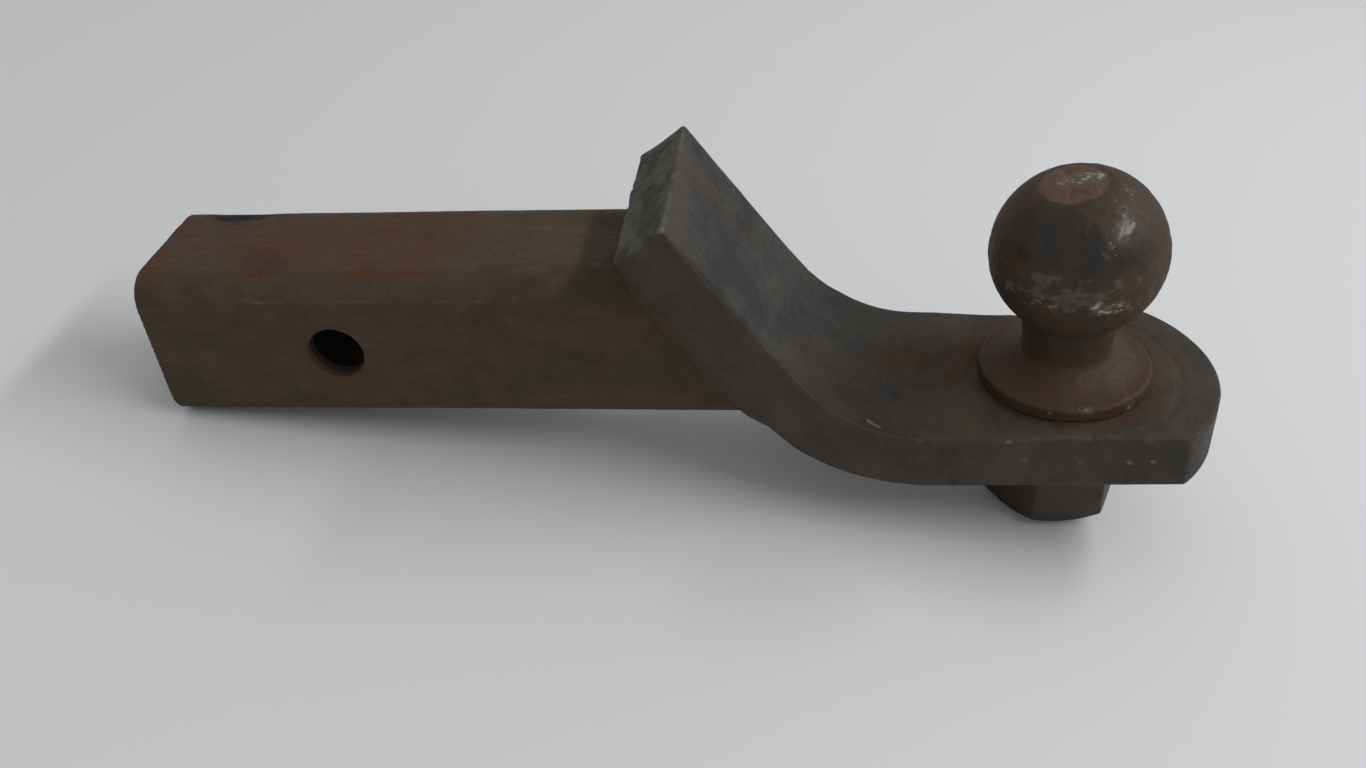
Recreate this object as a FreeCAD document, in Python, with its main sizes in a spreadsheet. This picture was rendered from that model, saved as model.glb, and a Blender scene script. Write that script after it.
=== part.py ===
import FreeCAD, Part
import math
import os
import Sketcher

# Receiver hitch ball mount: a square shank tube welded to a bent bar that carries a bolted hitch ball.
# Millimetres. The origin is the centre of the hitch pin hole on the shank's axis,
# +X runs along the shank to the ball, +Z is up along the ball's stud.

doc = FreeCAD.newDocument("ball_mount")
sheet = doc.addObject("Spreadsheet::Sheet", "sizes")

sizes = {
    # square shank tube
    "tube_width": 50.8,
    "tube_wall": 6.35,
    "tube_corner": 9.5,         # outer corner radius
    "tail_reach": 59.0,         # pin hole's centre to the open tail
    "tail_break": 0.6,          # broken edge round the sawn tail
    "pin_bore": 8.73,           # radius of the hitch pin hole
    # bent bar
    "bar_width": 67.4,
    "bar_thick": 18.3,
    "bar_edge": 1.2,            # rolled corner radius along the bar
    "leg_angle": 54.2,          # slope of the leg, degrees above level
    "leg_length": 89.2,         # knee to the cut top end, along the front face
    "bend_inside": 47.3,
    "knee_reach": 157.1,        # where the leg's front face would meet the tongue's top face
    "tongue_drop": 25.6,        # shank's axis down to that knee
    "tongue_pitch": 1.4,        # degrees that the tongue climbs to its end, bent a little too far
    "end_radius": 46.0,         # tongue's round end, about the ball's axis
    "hole_clearance": 0.4,      # round the stud in the bar
    # weld bead
    "weld_leg_bar": 6.4,
    "weld_leg_tube": 7.2,
    "weld_toe": 0.35,           # depth at which the bead's toe runs out under the tube's face
    # hitch ball
    "ball_reach": 66.1,         # knee to the ball's axis, along the tongue
    "ball_radius": 25.4,
    "ball_rise": 43.6,          # ball's centre above the tongue
    "ball_flat": 10.6,          # radius of the flat on top
    "flat_edge": 1.6,           # rounding round that flat
    "neck_top": 14.2,           # neck radius under the ball
    "neck_foot": 13.2,
    "neck_rise": 10.6,          # height where the neck meets the flange's slope
    "flange_radius": 26.1,
    "flange_rim": 3.4,          # height of the upright rim
    "flange_edge": 1.3,         # rounding above the rim
    "slope_radius": 17.0,       # hollow sweep from rim to neck
    "stud_radius": 12.7,
    "stud_length": 45.9,
    "stud_tip": 1.6,            # chamfer at the stud's foot
    # lock washer
    "washer_outer": 20.8,
    "washer_thick": 6.35,
    "washer_clearance": 0.3,    # round the stud
    "washer_split": 2.2,
    "split_lean": 3.0,          # sideways run of the slanted split
    # hexagon nut
    "nut_flats": 38.1,
    "nut_thick": 22.0,
    "nut_turn": 7.6,            # degrees from the tongue's end to the first corner
    "nut_step": 0.65,           # flats out to the circle where the corner chamfer starts
    "nut_chamfer": 30.0,
    "nut_sink": 1.2,            # countersink at both ends of the thread
    "thread_clearance": 0.15,
}

for row, (word, number) in enumerate(sizes.items(), start=1):
    sheet.set("A%d" % row, word)
    sheet.set("B%d" % row, str(number))
    sheet.setAlias("B%d" % row, word)
doc.recompute()


# Sketches: every corner is a pair of expressions that the sheet drives

def worth(text):
    # present value of an expression, which gives a sketch its first shape
    return float(sheet.evalExpression(text))


def plane_of(body, role):
    return [item for item in body.Origin.OriginFeatures if item.Role == role][0]


def new_sketch(body, name, role):
    sketch = body.newObject("Sketcher::SketchObject", name)
    sketch.AttachmentSupport = [(plane_of(body, role), "")]
    sketch.MapMode = "FlatFace"
    return sketch


def hold(sketch, kind, text, *where):
    # one driving dimension, bound to its expression
    constraint = Sketcher.Constraint(kind, *where, worth(text))
    index = sketch.addConstraint(constraint)
    name = "%s_%d" % (kind.lower(), index)
    sketch.renameConstraint(index, name)
    sketch.setExpression("Constraints." + name, text)


def hold_point(sketch, item, end, across, up):
    vertical_axis, level_axis = -2, -1
    for kind, text, axis in (("DistanceX", across, vertical_axis), ("DistanceY", up, level_axis)):
        if text == "0":
            sketch.addConstraint(Sketcher.Constraint("PointOnObject", item, end, axis))
        else:
            hold(sketch, kind, text, item, end)


def arc_between(start, finish, radius, turn):
    # the short arc of that radius, with its centre left of the way for turn 1 and right for turn -1
    chord = finish - start
    half = chord.Length / 2
    side = FreeCAD.Vector(-chord.y, chord.x, 0).normalize() * turn
    centre = (start + finish) / 2 + side * math.sqrt(radius ** 2 - half ** 2)
    first, last = (start, finish) if turn > 0 else (finish, start)
    angles = [math.atan2(point.y - centre.y, point.x - centre.x) for point in (first, last)]
    circle = Part.Circle(centre, FreeCAD.Vector(0, 0, 1), radius)
    return Part.ArcOfCircle(circle, *angles)


def draw_loop(sketch, corners):
    # a closed outline: (across, up) starts a line, (across, up, radius, turn) starts an arc
    points = [FreeCAD.Vector(worth(corner[0]), worth(corner[1]), 0) for corner in corners]
    pieces = []
    for corner, start, finish in zip(corners, points, points[1:] + points[:1]):
        start_end, finish_end = 1, 2
        if len(corner) == 2:
            item = sketch.addGeometry(Part.LineSegment(start, finish))
        else:
            radius, turn = corner[2:]
            item = sketch.addGeometry(arc_between(start, finish, worth(radius), turn))
            if turn < 0:
                start_end, finish_end = 2, 1
        pieces.append((item, start_end, finish_end))
    for (item, _, end), (following, start, _) in zip(pieces, pieces[1:] + pieces[:1]):
        sketch.addConstraint(Sketcher.Constraint("Coincident", item, end, following, start))
    for corner, (item, start, _) in zip(corners, pieces):
        hold_point(sketch, item, start, corner[0], corner[1])
        if len(corner) > 2:
            hold(sketch, "Radius", corner[2], item)


def draw_circle(sketch, across, up, radius):
    centre = FreeCAD.Vector(worth(across), worth(up), 0)
    item = sketch.addGeometry(Part.Circle(centre, FreeCAD.Vector(0, 0, 1), worth(radius)))
    centre_index = 3
    hold_point(sketch, item, centre_index, across, up)
    hold(sketch, "Radius", radius, item)


def rounded_box(half_across, half_up, radius):
    # corners of a rectangle about the sketch's origin with round corners, counterclockwise
    loop = []
    for across, up, upright in ((1, -1, 0), (1, 1, 1), (-1, 1, 0), (-1, -1, 1)):
        before = ("%d * (%s - (%s))" % (across, half_across, radius), "%d * (%s)" % (up, half_up))
        after = ("%d * (%s)" % (across, half_across), "%d * (%s - (%s))" % (up, half_up, radius))
        first, second = (after, before) if upright else (before, after)
        loop += [first + (radius, 1), second]
    return loop


# Features

def new_body(name):
    body = doc.addObject("PartDesign::Body", name)
    body.Label = name
    return body


def pad(body, sketch, length, side="One side", back=False):
    feature = body.newObject("PartDesign::Pad", sketch.Name + "_pad")
    feature.Profile = sketch
    feature.SideType = side
    feature.Reversed = back
    feature.setExpression("Length", length)
    doc.recompute()
    return feature


def cut_through(body, sketch, side="Symmetric"):
    before = body.Shape.Volume
    feature = body.newObject("PartDesign::Pocket", sketch.Name + "_cut")
    feature.Profile = sketch
    feature.Type = "ThroughAll"
    feature.SideType = side
    doc.recompute()
    if body.Shape.Volume >= before:
        raise RuntimeError(feature.Name + " cuts nothing")
    return feature


def turn_about_axis(body, sketch, kind):
    feature = body.newObject("PartDesign::" + kind, sketch.Name + "_turned")
    feature.Profile = sketch
    feature.ReferenceAxis = (sketch, ["V_Axis"])
    doc.recompute()
    return feature


def dress(body, kind, size_property, size, wanted):
    # rounds or breaks the edges of the body's present shape that the test picks
    base = body.Tip
    edges = ["Edge%d" % number for number, edge in enumerate(base.Shape.Edges, start=1) if wanted(edge)]
    feature = body.newObject("PartDesign::" + kind, body.Name + "_" + kind.lower())
    feature.Base = (base, edges)
    feature.setExpression(size_property, size)
    doc.recompute()
    return feature


level_slack = 1e-4


def level_at(edge, axis, place):
    # whether an edge lies wholly in the plane at that place along the axis
    low = getattr(edge.BoundBox, axis + "Min")
    high = getattr(edge.BoundBox, axis + "Max")
    return abs(low - place) < level_slack and abs(high - place) < level_slack


# Places that several pieces share

half_tube = "sizes.tube_width / 2"
half_bar = "sizes.bar_width / 2"
bend_angle = "(sizes.leg_angle + sizes.tongue_pitch)"
bend_run = "sizes.bend_inside * tan(%s / 2)" % bend_angle     # knee to where the bend starts
bend_outside = "sizes.bend_inside + sizes.bar_thick"


def on_leg(along, depth):
    # a point of the side view: along the leg's front face from the knee, and depth behind that face
    across = "sizes.knee_reach - (%s) * cos(sizes.leg_angle) - (%s) * sin(sizes.leg_angle)"
    up = "-sizes.tongue_drop + (%s) * sin(sizes.leg_angle) - (%s) * cos(sizes.leg_angle)"
    return across % (along, depth), up % (along, depth)


def on_tongue(along, depth):
    # a point of the side view: along the tongue's top face from the knee, and depth under that face
    across = "sizes.knee_reach + (%s) * cos(sizes.tongue_pitch) + (%s) * sin(sizes.tongue_pitch)"
    up = "-sizes.tongue_drop + (%s) * sin(sizes.tongue_pitch) - (%s) * cos(sizes.tongue_pitch)"
    return across % (along, depth), up % (along, depth)


def behind_bar():
    # side view of all that lies on the bar's side of its back face, to fit other pieces to that face
    top = on_leg("sizes.leg_length + sizes.tube_width", "sizes.bar_thick")
    bend_top = on_leg(bend_run, "sizes.bar_thick")
    bend_foot = on_tongue(bend_run, "sizes.bar_thick")
    far = "%s + sizes.tube_width" % bend_foot[0]
    return [top, bend_top + (bend_outside, 1), bend_foot, (far, bend_foot[1]), (far, top[1])]


def lean(item, property_name, place, axis, angle):
    # puts a sketch or a body at a side view point, turned about that axis
    small_turn = FreeCAD.Rotation(FreeCAD.Vector(*axis), 1)
    setattr(item, property_name, FreeCAD.Placement(FreeCAD.Vector(), small_turn))
    for part, text in ((".Base.x", place[0]), (".Base.z", place[1]), (".Rotation.Angle", angle)):
        item.setExpression(property_name + part, text)


def lie_along_leg(sketch, place):
    # a level sketch tilted parallel to the leg, x down its slope
    lean(sketch, "AttachmentOffset", place, (0, 1, 0), "sizes.leg_angle")


def lie_along_tongue(item, property_name, place):
    # a level sketch or body tilted with the tongue, x to its end
    lean(item, property_name, place, (0, -1, 0), "sizes.tongue_pitch")


# Square shank tube, its front end cut to fit the bar's back face

shank = new_body("shank_tube")
section = new_sketch(shank, "shank_section", "YZ_Plane")
section.setExpression("AttachmentOffset.Base.z", "-sizes.tail_reach")
half_hollow = "(sizes.tube_width / 2 - sizes.tube_wall)"
hollow_corner = "max(sizes.tube_corner - sizes.tube_wall; sizes.tube_wall / 4)"
draw_loop(section, rounded_box(half_tube, half_tube, "sizes.tube_corner"))
draw_loop(section, rounded_box(half_hollow, half_hollow, hollow_corner))
pad(shank, section, "sizes.tail_reach + sizes.knee_reach")

tail = -worth("sizes.tail_reach")
dress(shank, "Chamfer", "Size", "sizes.tail_break", lambda edge: level_at(edge, "X", tail))

mitre = new_sketch(shank, "shank_mitre", "XZ_Plane")
draw_loop(mitre, behind_bar())
cut_through(shank, mitre)

pin_hole = new_sketch(shank, "pin_hole", "XZ_Plane")
draw_circle(pin_hole, "0", "0", "sizes.pin_bore")
cut_through(shank, pin_hole)

# Bent bar: the blank runs a bar's thickness past the tongue's end, which is then cut round

bar = new_body("tongue_bar")
side_view = new_sketch(bar, "bar_side", "XZ_Plane")
blank_end = "sizes.ball_reach + sizes.end_radius + sizes.bar_thick"
draw_loop(side_view, [
    on_leg("sizes.leg_length", "0"),
    on_leg("sizes.leg_length", "sizes.bar_thick"),
    on_leg(bend_run, "sizes.bar_thick") + (bend_outside, 1),
    on_tongue(bend_run, "sizes.bar_thick"),
    on_tongue(blank_end, "sizes.bar_thick"),
    on_tongue(blank_end, "0"),
    on_tongue(bend_run, "0") + ("sizes.bend_inside", -1),
    on_leg(bend_run, "0"),
])
pad(bar, side_view, "sizes.bar_width", side="Symmetric")

bar_side = worth(half_bar)
cut_edge = worth("sizes.bar_thick")


def along_bar(edge):
    # the rolled corners: edges of the two side faces, apart from the cut ends' edges across the thickness
    at_side = level_at(edge, "Y", bar_side) or level_at(edge, "Y", -bar_side)
    return at_side and abs(edge.Length - cut_edge) > level_slack


dress(bar, "Fillet", "Radius", "sizes.bar_edge", along_bar)

round_end = new_sketch(bar, "round_end", "XY_Plane")
lie_along_tongue(round_end, "AttachmentOffset", on_tongue("0", "0"))
end_side = "(sizes.bar_width / 2 + sizes.bar_edge)"
end_corner = "sizes.ball_reach + sqrt(sizes.end_radius ^ 2 - %s ^ 2)" % end_side
past_end = "%s + sizes.bar_thick" % blank_end
draw_loop(round_end, [
    (end_corner, "-%s" % end_side, "sizes.end_radius", 1),
    (end_corner, end_side),
    (past_end, end_side),
    (past_end, "-%s" % end_side),
])
cut_through(bar, round_end)

stud_hole = new_sketch(bar, "stud_hole", "XY_Plane")
lie_along_tongue(stud_hole, "AttachmentOffset", on_tongue("0", "0"))
draw_circle(stud_hole, "sizes.ball_reach", "0", "sizes.stud_radius + sizes.hole_clearance")
cut_through(bar, stud_hole)

# Weld bead: a collar that tapers from the bar's back face to the tube, less what the tube and the bar fill

weld = new_body("fillet_weld")
weld_root = "(sizes.bar_thick / 3)"     # how far the collar is carried into the bar, so that it reaches the bend
rise = "((sizes.weld_leg_bar + sizes.weld_toe) * (1 + %s / sizes.weld_leg_tube))" % weld_root
toe_half = "(sizes.tube_width / 2 - sizes.weld_toe)"
toe_corner = "(sizes.tube_corner / sin(sizes.leg_angle))"


def collar_ring(name, depth, growth):
    # outline round the tube in the plane that lies that deep behind the leg's front face
    ring = new_sketch(weld, name, "XY_Plane")
    crossing = "sizes.knee_reach - ((%s) + sizes.tongue_drop * cos(sizes.leg_angle)) / sin(sizes.leg_angle)"
    lie_along_leg(ring, (crossing % depth, "0"))
    down_slope = "(%s / sin(sizes.leg_angle) + %s)" % (toe_half, growth)
    sideways = "(%s + %s)" % (toe_half, growth)
    draw_loop(ring, rounded_box(down_slope, sideways, "%s + %s" % (toe_corner, growth)))
    return ring


toe_ring = collar_ring("weld_toe_ring", "sizes.bar_thick + sizes.weld_leg_tube", "0")
root_ring = collar_ring("weld_root_ring", "sizes.bar_thick - %s" % weld_root, rise)
doc.recompute()
collar = weld.newObject("PartDesign::AdditiveLoft", "weld_collar")
collar.Profile = root_ring
collar.Sections = [toe_ring]
collar.Ruled = True
doc.recompute()

tube_room = new_sketch(weld, "weld_tube_room", "YZ_Plane")
draw_loop(tube_room, rounded_box(half_tube, half_tube, "sizes.tube_corner"))
cut_through(weld, tube_room)

bar_room = new_sketch(weld, "weld_bar_room", "XZ_Plane")
draw_loop(bar_room, behind_bar())
cut_through(weld, bar_room)

# Hitch ball: ball, neck, flange and stud turned as one, its seat on the tongue's top face

ball = new_body("hitch_ball")
lie_along_tongue(ball, "Placement", on_tongue("sizes.ball_reach", "0"))
profile = new_sketch(ball, "ball_profile", "XZ_Plane")
under_ball = "sizes.ball_rise - sqrt(sizes.ball_radius ^ 2 - sizes.neck_top ^ 2)"
flat_level = "sizes.ball_rise + sqrt(sizes.ball_radius ^ 2 - sizes.ball_flat ^ 2)"
rim_level = "sizes.flange_rim + sizes.flange_edge"
draw_loop(profile, [
    ("0", "-sizes.stud_length"),
    ("sizes.stud_radius - sizes.stud_tip", "-sizes.stud_length"),
    ("sizes.stud_radius", "-sizes.stud_length + sizes.stud_tip"),
    ("sizes.stud_radius", "0"),
    ("sizes.flange_radius", "0"),
    ("sizes.flange_radius", "sizes.flange_rim", "sizes.flange_edge", 1),
    ("sizes.flange_radius - sizes.flange_edge", rim_level, "sizes.slope_radius", -1),
    ("sizes.neck_foot", "sizes.neck_rise"),
    ("sizes.neck_top", under_ball, "sizes.ball_radius", 1),
    ("sizes.ball_flat", flat_level),
    ("0", flat_level),
])
turn_about_axis(ball, profile, "Revolution")
flat_height = worth(flat_level)
dress(ball, "Fillet", "Radius", "sizes.flat_edge", lambda edge: level_at(edge, "Z", flat_height))

# Split lock washer, under the bar

washer = new_body("lock_washer")
lie_along_tongue(washer, "Placement", on_tongue("sizes.ball_reach", "sizes.bar_thick"))
ring = new_sketch(washer, "washer_ring", "XY_Plane")
draw_circle(ring, "0", "0", "sizes.washer_outer")
draw_circle(ring, "0", "0", "sizes.stud_radius + sizes.washer_clearance")
pad(washer, ring, "sizes.washer_thick", back=True)

split = new_sketch(washer, "washer_split_side", "XZ_Plane")
slant = "1.5 * sizes.split_lean"     # the slant carried on from the two faces to a thickness past each
above = "sizes.washer_thick"
below = "-2 * sizes.washer_thick"
draw_loop(split, [
    ("%s + sizes.washer_split / 2" % slant, above),
    ("%s - sizes.washer_split / 2" % slant, above),
    ("-%s - sizes.washer_split / 2" % slant, below),
    ("-%s + sizes.washer_split / 2" % slant, below),
])
cut_through(washer, split, side="One side")

# Hexagon nut, clamping the washer against the bar

nut = new_body("hex_nut")
lie_along_tongue(nut, "Placement", on_tongue("sizes.ball_reach", "sizes.bar_thick + sizes.washer_thick"))
hexagon = new_sketch(nut, "nut_hexagon", "XY_Plane")
sides = 6
corner_reach = "(sizes.nut_flats / sqrt(3))"
turns = ["(%g + sizes.nut_turn)" % (360 / sides * step) for step in range(sides)]
draw_loop(hexagon, [
    ("%s * cos%s" % (corner_reach, turn), "%s * sin%s" % (corner_reach, turn)) for turn in turns
])
pad(nut, hexagon, "sizes.nut_thick", back=True)

corners = new_sketch(nut, "nut_corners", "XZ_Plane")
face_reach = "(sizes.nut_flats / 2 - sizes.nut_step)"
outside = "sizes.nut_flats"
fall = "(%s - %s) * tan(sizes.nut_chamfer)" % (outside, face_reach)
nut_under = "-sizes.nut_thick"
draw_loop(corners, [(face_reach, "0"), (outside, "-%s" % fall), (outside, "0")])
draw_loop(corners, [(face_reach, nut_under), (outside, nut_under), (outside, "%s + %s" % (nut_under, fall))])
turn_about_axis(nut, corners, "Groove")

thread = new_sketch(nut, "nut_thread", "XZ_Plane")
bore = "sizes.stud_radius + sizes.thread_clearance"
mouth = "%s + sizes.nut_sink" % bore
draw_loop(thread, [
    ("0", "0"),
    ("0", nut_under),
    (mouth, nut_under),
    (bore, "%s + sizes.nut_sink" % nut_under),
    (bore, "-sizes.nut_sink"),
    (mouth, "0"),
])
turn_about_axis(nut, thread, "Groove")

# Checks, then one file for each piece

doc.recompute()
for item in doc.Objects:
    if "Invalid" in item.State or "Error" in item.State:
        raise RuntimeError("%s did not build: %s" % (item.Name, item.State))

os.makedirs("parts", exist_ok=True)
pieces = [shank, bar, weld, ball, washer, nut]
for piece in pieces:
    shape = piece.Shape
    if shape.isNull() or not shape.isValid() or len(shape.Solids) != 1:
        raise RuntimeError("%s is not one sound solid" % piece.Label)
for piece in pieces:
    piece.Shape.exportStep("parts/%s.step" % piece.Label)
    box = piece.Shape.BoundBox
    print("%-12s %8.1f mm3  x %.1f to %.1f  y %.1f to %.1f  z %.1f to %.1f" % (
        piece.Label, piece.Shape.Volume, box.XMin, box.XMax, box.YMin, box.YMax, box.ZMin, box.ZMax))
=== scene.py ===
from functools import partial
import bpy
import bmesh
import numpy as np
from numpy import arctan2, array, clip, concatenate, cos, degrees, flatnonzero, hypot, interp, linspace
from numpy import maximum, minimum, ones, pi, r_, radians, sin, sqrt, stack, where, zeros
from numpy.linalg import norm
from mathutils import Matrix, Vector


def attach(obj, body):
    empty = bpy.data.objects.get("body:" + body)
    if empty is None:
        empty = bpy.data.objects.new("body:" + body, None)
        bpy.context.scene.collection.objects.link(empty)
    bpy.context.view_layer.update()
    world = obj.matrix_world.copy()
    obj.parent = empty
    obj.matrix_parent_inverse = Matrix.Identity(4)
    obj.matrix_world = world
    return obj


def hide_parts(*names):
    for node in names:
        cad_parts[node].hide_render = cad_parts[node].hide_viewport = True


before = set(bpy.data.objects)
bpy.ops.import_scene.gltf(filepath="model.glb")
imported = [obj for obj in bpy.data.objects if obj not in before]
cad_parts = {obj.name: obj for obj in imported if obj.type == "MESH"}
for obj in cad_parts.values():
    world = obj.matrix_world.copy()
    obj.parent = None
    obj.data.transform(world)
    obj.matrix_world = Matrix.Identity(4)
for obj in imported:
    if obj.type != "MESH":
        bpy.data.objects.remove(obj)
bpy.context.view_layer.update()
mm = 0.001  # sizes below are in millimetres, Blender's in metres


# Noise and masks on whole arrays of points

lattice = {"stride": (127.1, 311.7, 74.7), "seedStep": 53.3, "stretch": 43758.5453, "octaveStep": 7}


def latticeValues(cell, seed):
    # a value from -1 to 1 for each cell: the fraction of a large sine of its indices
    mixed = sin(cell @ array(lattice["stride"]) + seed * lattice["seedStep"]) * lattice["stretch"]
    return 2 * (mixed - np.floor(mixed)) - 1


def smoothed(part):
    # smoothstep: three times the square less twice the cube
    return part * part * (3 - 2 * part)


def lumps(place, size, seed):
    # noise from -1 to 1: lattice values a size apart, blended by smoothstep in each cell
    spot = place / size
    cell = np.floor(spot)
    part = smoothed(spot - cell)
    total = zeros(place.shape[:-1])
    for corner in np.ndindex(2, 2, 2):
        weight = np.prod(where(corner, part, 1 - part), axis=-1)
        total += weight * latticeValues(cell + corner, seed)
    return total


def coarse(place, size, seed, octaves=3):
    # lumps added up at halved sizes and halved heights
    return sum(lumps(place, size / 2 ** k, seed + lattice["octaveStep"] * k) / 2 ** k for k in range(octaves))


def layer(place, height, size, seed, octaves=1):
    # coarse noise times a height
    return height * coarse(place, size, seed, octaves)


def ease(value, low, high):
    # smoothstep from 0 at low to 1 at high, either way round
    return smoothed(clip((value - low) / (high - low), 0, 1))


def window(value, rise, risen, fall, fallen):
    # smoothstep up from rise to risen, times one down from fall to fallen
    return ease(value, rise, risen) * ease(value, fallen, fall)


def patchy(place, size, seed, low, high):
    # a mask of patches: coarse noise eased from 0 at low to 1 at high
    return ease(coarse(place, size, seed), low, high)


def blobs(place, spots):
    # spots added up, each eased from its strength at the centre to 0 at its radius
    return sum(strength * ease(norm(place - array(spot), axis=-1), radius, 0)
               for *spot, radius, strength in spots)


def specks(place, spots, ragged, full, stretch=(1, 1, 1)):
    # ragged spots added up: stretched distance plus noise, eased from 0 at the size to full inside it
    uneven = layer(place, *ragged)
    total = zeros(len(place))
    for *spot, size, strength in spots:
        gap = norm((place - array(spot)) * stretch, axis=-1) + uneven
        total += strength * ease(gap, size, full * size)
    return total


# Grids to meshes

rimTurn = linspace(0, pi / 2, 5)  # steps over a rounded rim
boreSteps = (0, 0.3, 0.55, 0.75, 0.9)  # from an opening's edge to its round rim


def rimRows(rim):
    # a quarter circle after its start: the rim less its cosine, and less its sine
    return rim * (1 - cos(rimTurn[1:])), rim * (1 - sin(rimTurn[1:]))


def gridIndex(rows, cols, first=0, loopRows=False, loopCols=False):
    # vertex numbers of a grid, the first row or column repeated where it closes
    index = first + np.arange(rows * cols).reshape(rows, cols)
    if loopRows:
        index = np.vstack([index, index[:1]])
    if loopCols:
        index = np.hstack([index, index[:, :1]])
    return index


def quads(index, keep=None):
    # corner numbers of all its cells, or of those kept
    cells = stack([index[:-1, :-1], index[:-1, 1:], index[1:, 1:], index[1:, :-1]], axis=-1)
    return cells.reshape(-1, 4) if keep is None else cells[keep]


def loopPattern(flatCount, sideCount, arcCount):
    # one turn of a rounded rectangle: place on its inner box, from -1 to 1, and the way it faces
    signs = array([[1, 1], [-1, 1], [-1, -1], [1, -1], [1, 1]], float)
    core, facing = [], []
    for turn in range(4):
        angle = (turn + linspace(0, 1, arcCount)) * pi / 2
        core.append(np.tile(signs[turn], (arcCount, 1)))
        facing.append(stack([cos(angle), sin(angle)], axis=-1))
        count = sideCount if turn % 2 else flatCount
        part = linspace(0, 1, count + 2)[1:-1, None]
        core.append(signs[turn] * (1 - part) + signs[turn + 1] * part)
        facing.append(np.tile(facing[-1][-1], (count, 1)))
    return concatenate(core), concatenate(facing)


def openBlock(index, keep, rows, cols):
    # drops a block of cells and gives the vertex numbers round it
    top, bottom, left, right = rows[0], rows[-1], cols[0], cols[-1]
    keep[top:bottom, left:right] = False
    return concatenate([index[top, left:right], index[top:bottom, right],
                           index[bottom, right:left:-1], index[bottom:top:-1, left]])


def boreSheet(ringA, ringB, centre, axis, radius, rim):
    # a hole between two openings: from each edge straight to the circle, over a rim, down the bore
    def toward(ring):
        height = (ring - centre) @ axis
        flat = ring - centre - height[:, None] * axis
        return height, flat / norm(flat, axis=1)[:, None]

    def circle(out, reach, height):
        return centre + out * reach + height[:, None] * axis

    def mouth(ring, out, height, way):
        edge = circle(out, radius + rim, height)
        rows = [ring + (edge - ring) * part for part in boreSteps]
        return rows + [circle(out, radius + rim * (1 - sin(turn)), height + way * rim * (1 - cos(turn)))
                       for turn in rimTurn]

    (heightA, outA), (heightB, outB) = toward(ringA), toward(ringB)
    inward = np.sign(heightB - heightA)
    rows = mouth(ringA, outA, heightA, inward)
    for part in linspace(0, 1, 9)[1:-1]:
        level = (heightA + inward * rim) * (1 - part) + (heightB - inward * rim) * part
        rows.append(circle(outA, radius, level))
    return array(rows + mouth(ringB, outB, heightB, -inward)[::-1])


def addObject(name, data):
    # a new object in the scene
    item = bpy.data.objects.new(name, data)
    bpy.context.scene.collection.objects.link(item)
    return item


def makePiece(name, node, points, faces):
    # a mesh from points and corner numbers, with doubles merged and faces outward
    mesh = bpy.data.meshes.new(name)
    mesh.from_pydata((points * mm).tolist(), [], faces.tolist())
    form = bmesh.new()
    form.from_mesh(mesh)
    bmesh.ops.remove_doubles(form, verts=form.verts, dist=1e-6)
    bmesh.ops.recalc_face_normals(form, faces=form.faces)
    form.to_mesh(mesh)
    form.free()
    mesh.shade_smooth()
    piece = addObject(name, mesh)
    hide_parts(node)
    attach(piece, "root")
    print("made", name, len(mesh.vertices), "points")
    return piece


def makeSheet(name, node, points, loopRows=False):
    # a piece from one grid with closed columns
    index = gridIndex(*points.shape[:2], loopRows=loopRows, loopCols=True)
    return makePiece(name, node, points.reshape(-1, 3), quads(index))


def readPiece(piece):
    # places in millimetres and normals of all of a piece's points
    place = np.empty(len(piece.data.vertices) * 3)
    facing = np.empty_like(place)
    piece.data.vertices.foreach_get("co", place)
    piece.data.vertices.foreach_get("normal", facing)
    return place.reshape(-1, 3) / mm, facing.reshape(-1, 3)


def raiseRelief(piece, height):
    # moves every point along its own normal by a height in millimetres
    place, facing = readPiece(piece)
    piece.data.vertices.foreach_set("co", ((place + facing * height[:, None]) * mm).ravel())
    piece.data.update()


def markPiece(piece, **masks):
    # named masks from 0 to 1 on the points, for the materials to read
    for name, mask in masks.items():
        mark = piece.data.attributes.new(name, "FLOAT", "POINT")
        mark.data.foreach_set("value", clip(mask, 0, 1).astype(np.float32))


# The bent bar's path in side view

bend = {
    "legAngle": 54.2, "pitch": 1.4,  # degrees
    "kneeX": 157.1, "kneeZ": -25.6,  # where leg and tongue faces would meet
    "legLength": 89.2, "insideRadius": 47.3, "thick": 18.3,
    "ballReach": 66.1, "backSteps": 400,
}
legAngle, pitch = radians(bend["legAngle"]), radians(bend["pitch"])
bendRun = bend["insideRadius"] * np.tan((legAngle + pitch) / 2)
legRun = bend["legLength"] - bendRun
bendLength = bend["insideRadius"] * (legAngle + pitch)


def downAt(angle):
    # the way into the bar where its front face slopes by an angle: sine along X, cosine down
    return stack([sin(angle), -cos(angle)], axis=-1)


def onwardAt(angle):
    # the way along that face: cosine along X, sine up
    return stack([cos(angle), sin(angle)], axis=-1)


legOnward, tongueOnward = onwardAt(-legAngle), onwardAt(pitch)
knee = array([bend["kneeX"], bend["kneeZ"]])
bendCentre = knee - legOnward * bendRun - downAt(-legAngle) * bend["insideRadius"]
seat = knee + tongueOnward * bend["ballReach"]  # foot of the ball's axis on the tongue's top face
tongueDown = downAt(pitch)


def barSide(run, depth):
    # side view: a run down the leg, round the bend's circle and out the tongue, at a depth behind the front
    turned = clip((run - legRun) / bend["insideRadius"], 0, legAngle + pitch)
    beforeBend = minimum(run - legRun, 0)[..., None] * legOnward
    afterBend = maximum(run - legRun - bendLength, 0)[..., None] * tongueOnward
    onCircle = bendCentre + (bend["insideRadius"] + depth)[..., None] * downAt(turned - legAngle)
    return onCircle + beforeBend + afterBend


def onBack(run):
    # the back face's point at a run down the bar
    return barSide(run, np.full(np.shape(run), bend["thick"]))


backRun = linspace(0, legRun + bendLength, bend["backSteps"])
backX, backZ = onBack(backRun).T


def backAt(height):
    # how far along X the bar's back face is at a height
    return interp(-height, -backZ, backX)


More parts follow.
